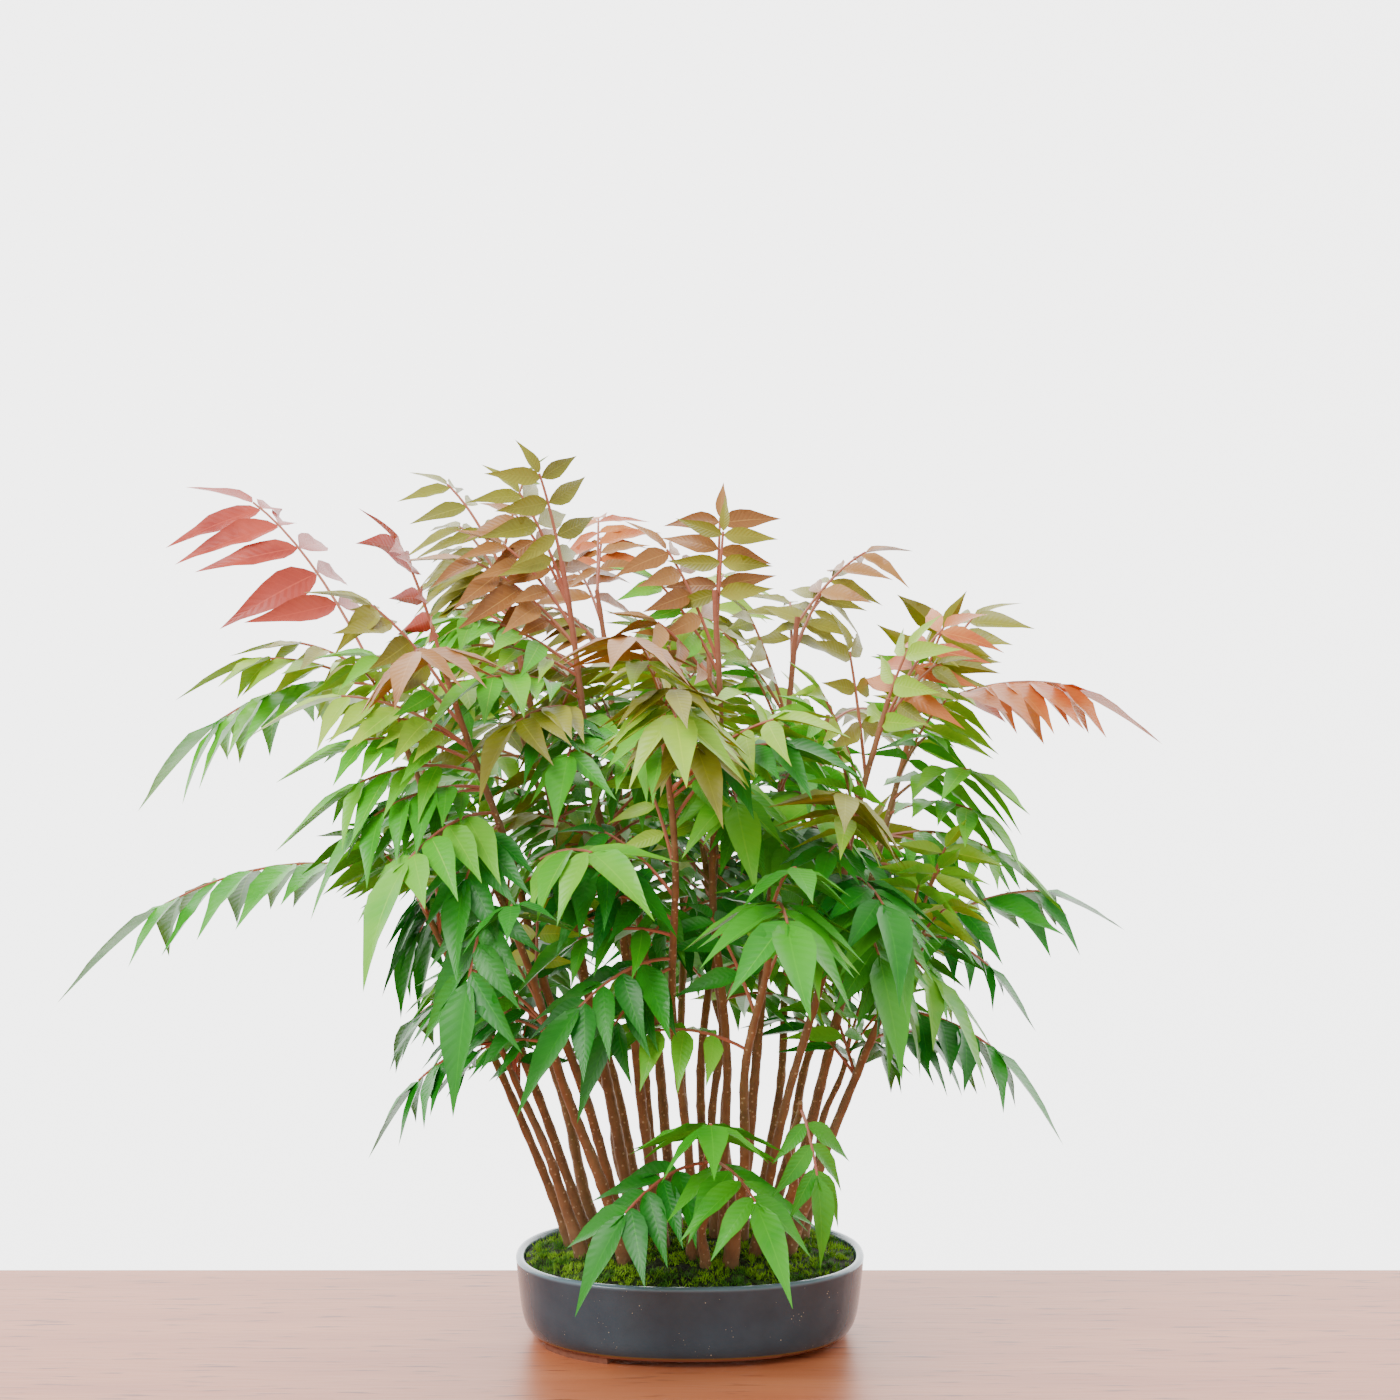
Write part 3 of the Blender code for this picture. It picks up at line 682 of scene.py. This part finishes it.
for stem in stems:
    chance = random.Random(f"leaves {stem.name}")
    length = (stem.tip - stem.foot).length
    outward = Vector((stem.tip.x - CROWN_SHIFT_X, stem.tip.y, 0.0)) / CROWN_RADIUS
    axis = (stem_heading(stem, 1.0) + outward * OUTWARD_LEAN).normalized()
    across = axis.orthogonal().normalized()
    wanted = 2 if length < 0.10 else 8 if length < 0.18 else 17 if length < 0.30 else 24
    lowest = 0.034 if length < 0.10 else 0.098 + 0.05 * chance.random()
    grown = 0
    for attempt in range(LEAF_ATTEMPTS):
        if grown == wanted:
            break
        share = attempt * 0.618 % 1.0
        tilt = math.radians(96 - 68 * share + chance.uniform(-14, 14))
        turned = Quaternion(axis, GOLDEN_ANGLE * attempt) @ across
        heading = axis * math.cos(tilt) + turned * math.sin(tilt)
        reach = LEAF_LENGTH * (1.0 - LEAF_SHORTER * attempt / LEAF_ATTEMPTS) * chance.uniform(0.85, 1.12)
        at = 1.0 - min(0.5, LEAF_ZONE / length) * (1.0 - share)
        tip = stem_point(stem, at) + heading * reach - Vector((0.0, 0.0, reach * LEAF_SAG))
        grown += grow(stem, at, tip, chance, 14, lowest)

# Each tint's darker and paler leaf colour, and the slot of the solids that it belongs to
TINTS = (
    ("deep green leaves", "#0f7a0e", "#2c9a17", "grown_leaf"),
    ("green leaves", "#2f9a12", "#55b81f", "grown_leaf"),
    ("bright green leaves", "#4db516", "#83cf30", "grown_leaf"),
    ("lime leaves", "#86bd22", "#b4d63e", "grown_leaf"),
    ("olive leaves", "#7c7c1c", "#a3a233", "young_leaf"),
    ("copper leaves", "#925a26", "#bd8746", "young_leaf"),
    ("orange leaves", "#c45a22", "#df8a42", "young_leaf"),
    ("red leaves", "#a02c1e", "#c8503a", "young_leaf"),
)
TINT_LIMITS = (0.08, 0.26, 0.42, 0.52, 0.74, 1.04, 1.14)
TURNS_FROM = 0.20
TURNS_OVER = 0.24


def leaf_material(name, dark, pale):
    """Leaf skin: a paler midrib, faint side veins and a shade of its own for each leaflet."""
    material, surface, place = new_material(name, 0.42)
    uv = add_node(material, "UVMap", {}, uv_map="blade")
    parts = add_node(material, "SeparateXYZ", {"Vector": uv}).node.outputs
    number = add_node(material, "Math", {0: parts["Y"]}, operation="FLOOR")
    shade = add_node(material, "TexWhiteNoise", {"W": number}, noise_dimensions="1D")
    colour = add_node(material, "Mix", {0: shade, 6: linear(dark), 7: linear(pale)}, 2, data_type="RGBA")
    darker = add_node(material, "TexNoise", blotches(place, 12.0))
    colour = lay_over(material, darker, 0.45, 0.75, colour, linear(dark))
    offset = add_node(material, "Math", {0: parts["X"], 1: 0.5}, operation="SUBTRACT")
    beside = add_node(material, "Math", {0: offset}, operation="ABSOLUTE")
    slant = add_node(material, "Math", {0: beside, 1: -0.28, 2: parts["Y"]}, operation="MULTIPLY_ADD")
    veins = add_node(material, "Math", {0: slant, 1: 0.04}, operation="PINGPONG")
    limits = {"Value": veins, "From Min": 0.010, "From Max": 0.0}
    vein = add_node(material, "MapRange", limits, interpolation_type="SMOOTHSTEP")
    faint = add_node(material, "Math", {0: vein, 1: 0.22}, operation="MULTIPLY")
    colour = add_node(material, "Mix", {0: faint, 6: colour, 7: linear(pale)}, 2, data_type="RGBA")
    colour = lay_over(material, beside, 0.030, 0.012, colour, linear(pale))
    dress(material, surface, colour, veins, 0.002)
    return material


def tint_of(tip, chance):
    """Which tint a leaf has turned: the higher and the farther out, the redder."""
    outer = math.hypot(tip.x - CROWN_SHIFT_X, tip.y * 1.1) / 0.24
    higher = min(1.0, max(0.0, (tip.z - TURNS_FROM) / TURNS_OVER))
    warmth = 0.80 * higher + 0.20 * outer ** 2 + chance.gauss(0.0, 0.17)
    for place, limit in enumerate(TINT_LIMITS):
        if warmth < limit:
            return place
    return len(TINT_LIMITS)


chance = random.Random("autumn tints")
dealt = [[] for _ in TINTS]
for _, tip, _, blades in leaves:
    dealt[tint_of(tip, chance)] += blades
foliage = [f"foliage_{stem.name}" for stem in stems]
for (name, dark, pale, slot), blades in zip(TINTS, dealt):
    if blades:
        uvs = [pair for blade in blades for pair in blade[2]]
        shape = gather([blade[:2] for blade in blades])
        piece = add_piece(name, *shape, leaf_material(name, dark, pale), slot, sharp=60, uvs=uvs)
        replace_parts(piece, *foliage)

# Leaf stalks: smooth and red, tan in patches 25 mm wide
stalk_skin, surface, place = new_material("red leaf stalk", 0.5)
dress(stalk_skin, surface, mottle(stalk_skin, place, 25.0, "#b08565", "#b8453c"))
shape = gather([stalk for _, _, stalk, _ in leaves])
stalks = add_piece("leaf stalks", *shape, stalk_skin, "young_leaf", sharp=70)
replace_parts(stalks, *foliage)


# The studio: a varnished wooden table top, a glowing white wall behind it, white
# light all round and a large soft lamp up to the left. The camera looks along +Y.
TABLE_LENGTH = 3.0
TABLE_DEPTH = 1.4
TABLE_THICKNESS = 0.03
TABLE_MIDDLE_Y = -0.598
WALL_Y = 1.7
WALL_HALF_LENGTH = 5.0
WALL_LOW = -2.0
WALL_HIGH = 4.0
LAMP_PLACE = Vector((-0.75, -1.0, 1.5))
LAMP_TARGET = Vector((0.0, 0.0, 0.22))
CAMERA_FROM_POT = Vector((0.0052, -0.963, 0.327))

# Varnished wood: its grain is drawn out to eleven times its width along the table
varnish, surface, place = new_material("varnished red-brown wood", 0.38)
along_grain = add_node(varnish, "Mapping", {"Vector": place, "Scale": (0.09, 1.0, 1.0)})
plank = mottle(varnish, along_grain, 9.0, "#a4512e", "#d08258", 6.0)
pores = add_node(varnish, "TexNoise", blotches(along_grain, 1.6))
plank = lay_over(varnish, pores, 0.58, 0.72, plank, linear("#7a3c26"))
dress(varnish, surface, plank, pores, 0.0002)

bpy.ops.mesh.primitive_cube_add(size=1.0, location=(0.0, 0.0, 0.0))
table = bpy.context.object
table.name = "table"
for vertex in table.data.vertices:
    across_table = vertex.co.y * TABLE_DEPTH + TABLE_MIDDLE_Y
    vertex.co = (vertex.co.x * TABLE_LENGTH, across_table, (vertex.co.z - 0.5) * TABLE_THICKNESS)
    vertex.co += POT_MIDDLE
table.data.materials.append(varnish)

# Wall paint: white and matte, lit from within so that it stays bright
paint, surface, place = new_material("white wall paint", 0.9)
dress(paint, surface, mottle(paint, place, 900.0, "#fafcfb", "#ffffff"))
surface.inputs["Emission Color"].default_value = (1.0, 1.0, 1.0, 1.0)
surface.inputs["Emission Strength"].default_value = 3.4
wall = bpy.data.meshes.new("wall")
corners = [
    (-WALL_HALF_LENGTH, WALL_Y, WALL_LOW),
    (WALL_HALF_LENGTH, WALL_Y, WALL_LOW),
    (WALL_HALF_LENGTH, WALL_Y, WALL_HIGH),
    (-WALL_HALF_LENGTH, WALL_Y, WALL_HIGH),
]
wall.from_pydata(corners, [], [(0, 1, 2, 3)])
wall.materials.append(paint)
backdrop = bpy.data.objects.new("wall", wall)
bpy.context.scene.collection.objects.link(backdrop)

world = bpy.data.worlds.new("white room")
world.use_nodes = True
world.node_tree.nodes["Background"].inputs["Color"].default_value = (1.0, 1.0, 1.0, 1.0)
world.node_tree.nodes["Background"].inputs["Strength"].default_value = 1.0
bpy.context.scene.world = world

lamp = bpy.data.lights.new("soft lamp", "AREA")
lamp.energy = 34
lamp.size = 0.9
lamp_object = bpy.data.objects.new("soft lamp", lamp)
lamp_object.location = LAMP_PLACE
lamp_object.rotation_euler = (LAMP_TARGET - LAMP_PLACE).to_track_quat("-Z", "Y").to_euler()
bpy.context.scene.collection.objects.link(lamp_object)

camera_data = bpy.data.cameras.new("camera")
camera_data.lens = 47.75
camera_data.sensor_width = 36
camera = bpy.data.objects.new("camera", camera_data)
camera.location = POT_MIDDLE + CAMERA_FROM_POT
camera.rotation_euler = (math.pi / 2, 0.0, 0.0)
bpy.context.scene.collection.objects.link(camera)
bpy.context.scene.camera = camera
